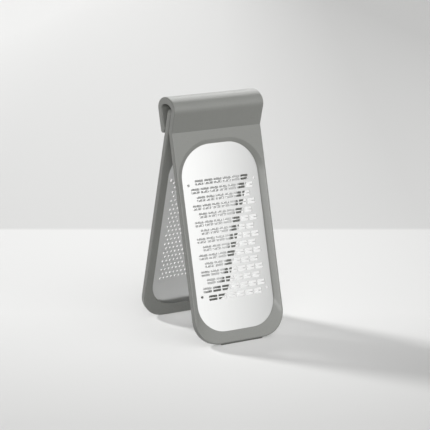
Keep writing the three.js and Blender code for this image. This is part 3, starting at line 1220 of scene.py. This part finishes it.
@dataclass
class Grater:
    """The whole grater: the coarse paddle in front and the fine paddle that rocks in its hook."""

    sizes: PaddleSizes = field(default_factory=PaddleSizes)

    def stands(self) -> tuple[Matrix, Matrix]:
        """Where the two flat paddles go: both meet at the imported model's hinge line.

        Returns:
            The coarse and the fine paddle's matrix from millimetres to the scene.
        """
        s = self.sizes
        hinge = Vector(frame["joints"][0]["pos_m"])
        front, rear = s.lean
        shrink = Matrix.Scale(MM, 4)
        coarse = Matrix.Translation(hinge) @ shrink @ Matrix.Rotation(QUARTER_TURN - front, 4, "X")
        coarse = coarse @ Matrix.Translation((0, -s.front_leg, 0))
        fine = Matrix.Translation(hinge + Vector((0, s.fit * MM / math.cos(rear), 0))) @ shrink
        fine = fine @ Matrix.Rotation(rear + QUARTER_TURN, 4, "X") @ Matrix.Rotation(math.pi, 4, "Y")
        return coarse, fine @ Matrix.Translation((0, -s.rear_leg, 0))

    def build(self) -> None:
        """Makes and dresses all six pieces."""
        s = self.sizes
        front, rear = s.lean
        nylon = MouldedNylon().material()
        rubber = SoftRubber().material()
        coarse_steel = SatinStainless("satin_stainless_coarse", lean=front).material()
        # Painted light: the fine plate's steel is paler than the coarse plate's, standing in for light that
        # its inner face lacks
        painted_lighter_tones = {"pale": "#dadad9", "dark": "#d3d4d4", "roughness": (0.26, 0.34)}
        fine_steel = SatinStainless("satin_stainless_fine", lean=-rear, **painted_lighter_tones).material()
        places, slab = places_tree(), slab_tree()
        drilled, bladed = perforation_tree(places), blade_tree(places, slab)
        stands = self.stands()

        coarse = Paddle(Body.COARSE, "front", stands[0])
        coarse.dress(HookedFrame(s).build("coarse_frame_with_hook"), "frame", Slot.FRAME, nylon)
        plate = CoarsePlate(s)
        steps = [(drilled, plate.locating()), (bladed, plate.blades())]
        blades = plate.build("coarse_blade_plate", steps, coarse_steel)
        coarse.dress(blades, "plate", Slot.PLATE, coarse_steel)
        coarse.dress(FootStrip(s, front).build("coarse_foot_strip"), "foot", Slot.FOOT, rubber)

        fine = Paddle(Body.FINE, "rear", stands[1])
        fine.dress(MouldedFrame(s).build("fine_frame"), "frame", Slot.FRAME, nylon)
        sieve = FinePlate(s)
        steps = [(drilled, sieve.locating()), (drilled, sieve.holes())]
        holes = sieve.build("fine_hole_plate", steps, fine_steel)
        fine.dress(holes, "plate", Slot.PLATE, fine_steel)
        fine.dress(FootStrip(s, rear).build("fine_foot_strip"), "foot", Slot.FOOT, rubber)


# Stage


@dataclass(frozen=True)
class Aim:
    """The way from the grater to a light."""

    turn: float  # degrees from straight in front of the coarse paddle, towards +X
    height: float  # degrees above the floor

    @property
    def direction(self) -> Vector:
        """The way as a vector of length 1.

        Returns:
            The vector.
        """
        turn, height = math.radians(self.turn), math.radians(self.height)
        level = math.cos(height)
        return Vector((math.sin(turn) * level, -math.cos(turn) * level, math.sin(height)))


@dataclass(frozen=True)
class Glow(Aim):
    """A broad soft light in the room round the grater."""

    focus: float  # the higher, the narrower
    strength: float


@dataclass(frozen=True)
class Panel(Aim):
    """A lit panel far away, wide enough for soft shadows or with none, and flagged off some pieces."""

    width: float  # degrees across
    power: float
    name: str
    shadow: bool = True
    gloss: bool = True
    only: tuple[str, ...] = ()  # the pieces that it lights, where it doesn't light all
    spares: tuple[str, ...] = ()  # pieces that it doesn't light


@dataclass
class Studio:
    """A pale floor, soft light and the camera."""

    camera_at: tuple[float, float, float] = (-0.90229, -1.57943, 0.57019)
    camera_to: tuple[float, float, float] = (-0.02867, -0.05771, 0.13455)
    lens_mm: float = 152.809
    sensor_mm: float = 36.0
    sight: float = 50.0  # how far the camera sees, in metres
    floor_reach: float = 20.0
    near_painted_shade: tuple[str, str] = ("#d3d3d2", "#ededec")  # painted shade, darker towards the camera; from the camera on
    near_reach: tuple[float, float] = (-0.70, -0.36)
    far_painted_shade: tuple[str, str] = ("#eeeeed", "#c8c8c7")  # painted shade, darker from left to right, the more so the farther
    painted_shade_drift_reach: tuple[float, float] = (-0.75, 0.75)
    far_line: float = 0.4682  # from the camera's target back to where the floor's far part begins
    far_blur: float = 0.006
    painted_side_shade: tuple[tuple[float, float, float], ...] = ((0.02, 0.27, 0.865), (-0.05, -0.3, 0.96))  # painted shade, darker to the sides
    painted_pool_gain: float = 0.17  # a painted pool of light on the far part, which shows through the plates
    pool_sides: tuple[float, float] = (-0.045, 0.068)
    pool_end: float = 0.48
    pool_blur: tuple[float, float, float] = (0.03, 0.006, 0.12)  # at its left, its right and its end
    bounce_colour: str = "#6f6f6e"  # what the floor sends back to the grater
    glows: tuple[Glow, ...] = (
        Glow(-34, 12, 30, 4.7),
        Glow(-25, 15, 60, 3.2),
        Glow(27, 5, 4, 1.15),
        Glow(0, 32, 8, 1.4),
        Glow(60, 50, 8, 0.7),
        Glow(149, 11, 24, 1.5),
    )
    panels: tuple[Panel, ...] = (
        Panel(-150, 32, 10, 2.2, "window_light", gloss=False),
        Panel(136, 44, 44, 1.15, "top_light", shadow=False, spares=("fine_frame",)),
        Panel(12, -43, 10, 0.072, "floor_glow", shadow=False, only=("fine_hole_plate",)),
    )

    @property
    def view(self) -> Vector:
        """The way from the camera to what it looks at."""
        return Vector(self.camera_to) - Vector(self.camera_at)

    def camera(self) -> None:
        """Sets the camera at the photograph's angle."""
        lens = bpy.data.cameras.new("camera")
        lens.lens = self.lens_mm
        lens.sensor_width = self.sensor_mm
        lens.clip_end = self.sight
        camera = new_object("camera", lens)
        camera.location = self.camera_at
        camera.rotation_euler = self.view.to_track_quat("-Z", "Y").to_euler()
        bpy.context.scene.camera = camera

    def paper(self) -> bpy.types.Material:
        """The floor's matt paper: a near and a far part with painted shade, and a painted pool of light on
        the far one.

        Returns:
            The material.
        """
        made, add, place = new_material("pale_matt_paper")
        away = Vector((self.view.x, self.view.y, 0)).normalized()
        along, across = (
            add(VECTOR_MATH, {OP: "DOT_PRODUCT", 0: place, 1: way})
            for way in (away, away.cross(Vector((0, 0, 1))))
        )
        start = away.dot(Vector(self.camera_to)) + self.far_line
        beyond = add(MATH, {OP: "SUBTRACT", 0: along, 1: start})
        # Painted shade on the far part: darker to the right, the more so the farther
        painted_shade_drift = add(MATH, {OP: "MULTIPLY", 0: across, 1: beyond})

        # The tones of the near and the far part: painted shade, darker towards the camera on the near part,
        # and to the right on the far part, the more so the farther
        parts = []
        for tones, value, reach in (
            (self.near_painted_shade, beyond, self.near_reach),
            (self.far_painted_shade, painted_shade_drift, self.painted_shade_drift_reach),
        ):
            share = add(MAP_RANGE, {"From Min": reach[0], "From Max": reach[1], "Value": value})
            first, second = (linear(tone) for tone in tones)
            parts.append(add(MIX, {**COLOURS, 0: share, FIRST: first, SECOND: second}))

        # The painted pool of light on the far part, the line where the parts meet, and painted shade to the
        # sides
        left, right = self.pool_sides
        soft, sharp, slow = self.pool_blur
        pool = 1.0
        for value, dim_at, full_at in (
            (across, left - soft, left + soft),
            (across, right + sharp, right - sharp),
            (beyond, self.pool_end + slow, self.pool_end - slow),
        ):
            share = add(MAP_RANGE, {"From Min": dim_at, "From Max": full_at, "Value": value})
            pool = add(MATH, {OP: "MULTIPLY", 0: pool, 1: share})
        gain = add(MATH, {OP: "MULTIPLY_ADD", 0: pool, 1: self.painted_pool_gain, 2: 1.0})
        lit = add(MIX, {**TINT, FIRST: parts[1], SECOND: gain})
        far = add(MAP_RANGE, {"From Min": -self.far_blur, "From Max": self.far_blur, "Value": beyond})
        tone = add(MIX, {**COLOURS, 0: far, FIRST: parts[0], SECOND: lit})
        for begin, end, kept in self.painted_side_shade:
            sideways = {"From Min": begin, "From Max": end, "To Min": 1.0, "To Max": kept, "Value": across}
            tone = add(MIX, {**TINT, FIRST: tone, SECOND: add(MAP_RANGE, sideways)})

        # The camera and the steel see these tones, and the grater gets a darker bounce
        path = add("ShaderNodeLightPath").outputs
        seen = path["Is Camera Ray"]
        for ray in ("Is Glossy Ray", "Is Transmission Ray"):
            seen = add(MATH, {OP: "MAXIMUM", 0: seen, 1: path[ray]})
        tone = add(MIX, {**COLOURS, 0: seen, FIRST: linear(self.bounce_colour), SECOND: tone})
        shader = add("ShaderNodeBsdfDiffuse", {"Color": tone})
        add("ShaderNodeOutputMaterial", {"Surface": shader})
        return made

    def floor(self) -> None:
        """Lays the pale floor."""
        r = self.floor_reach
        mesh = bpy.data.meshes.new("floor")
        mesh.from_pydata([(-r, -r, 0), (r, -r, 0), (r, r, 0), (-r, r, 0)], [], [(0, 1, 2, 3)])
        mesh.materials.append(self.paper())
        new_object("floor", mesh)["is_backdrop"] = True

    def room(self) -> None:
        """Surrounds the grater with glows: the brightest in front on the left, weaker ones elsewhere."""
        world = bpy.data.worlds.new("room")
        bpy.context.scene.world = world
        world.use_nodes = True
        world.node_tree.nodes.clear()
        add = partial(add_node, world.node_tree)
        aim = add("ShaderNodeTexCoord").outputs["Generated"]
        total = 0.0
        for glow in self.glows:
            part = add(VECTOR_MATH, {OP: "DOT_PRODUCT", 0: aim, 1: glow.direction})
            part = add(MATH, {OP: "MAXIMUM", 0: part, 1: 0.0})
            part = add(MATH, {OP: "POWER", 0: part, 1: glow.focus})
            total = add(MATH, {OP: "MULTIPLY_ADD", 0: part, 1: glow.strength, 2: total})
        light = add("ShaderNodeBackground", {"Color": WHITE, "Strength": total})
        add("ShaderNodeOutputWorld", {"Surface": light})

    def lamps(self) -> None:
        """Adds the window behind on the left, which casts the long shadow, the top light and a floor glow."""
        for panel in self.panels:
            data = bpy.data.lights.new(panel.name, "SUN")
            data.energy = panel.power
            data.angle = math.radians(panel.width)
            data.use_shadow = panel.shadow
            lamp = new_object(panel.name, data)
            lamp.rotation_euler = panel.direction.to_track_quat("Z", "Y").to_euler()
            lamp.visible_glossy = panel.gloss
            if panel.only or panel.spares:
                chosen = bpy.data.collections.new(f"{panel.name}_pieces")
                for name in panel.only or panel.spares:
                    chosen.objects.link(bpy.data.objects[name])
                for member in chosen.collection_objects:
                    member.light_linking.link_state = "INCLUDE" if panel.only else "EXCLUDE"
                lamp.light_linking.receiver_collection = chosen

    def build(self) -> None:
        """Sets up the whole stage."""
        bpy.context.scene.view_settings.view_transform = "Standard"
        self.camera()
        self.floor()
        self.room()
        self.lamps()


def main() -> None:
    """Builds the grater and the stage, and keeps the boxes of the CAD model and the visual model."""
    logging.basicConfig(level=logging.INFO, format="%(name)s: %(message)s")
    Grater().build()
    Studio().build()
    boxes = {"cad": CAD_BOX, "visual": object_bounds()}
    plain = {name: [list(corner) for corner in box] for name, box in boxes.items()}
    LOG.info("boxes: %s", plain)


if __name__ == "__main__":
    main()
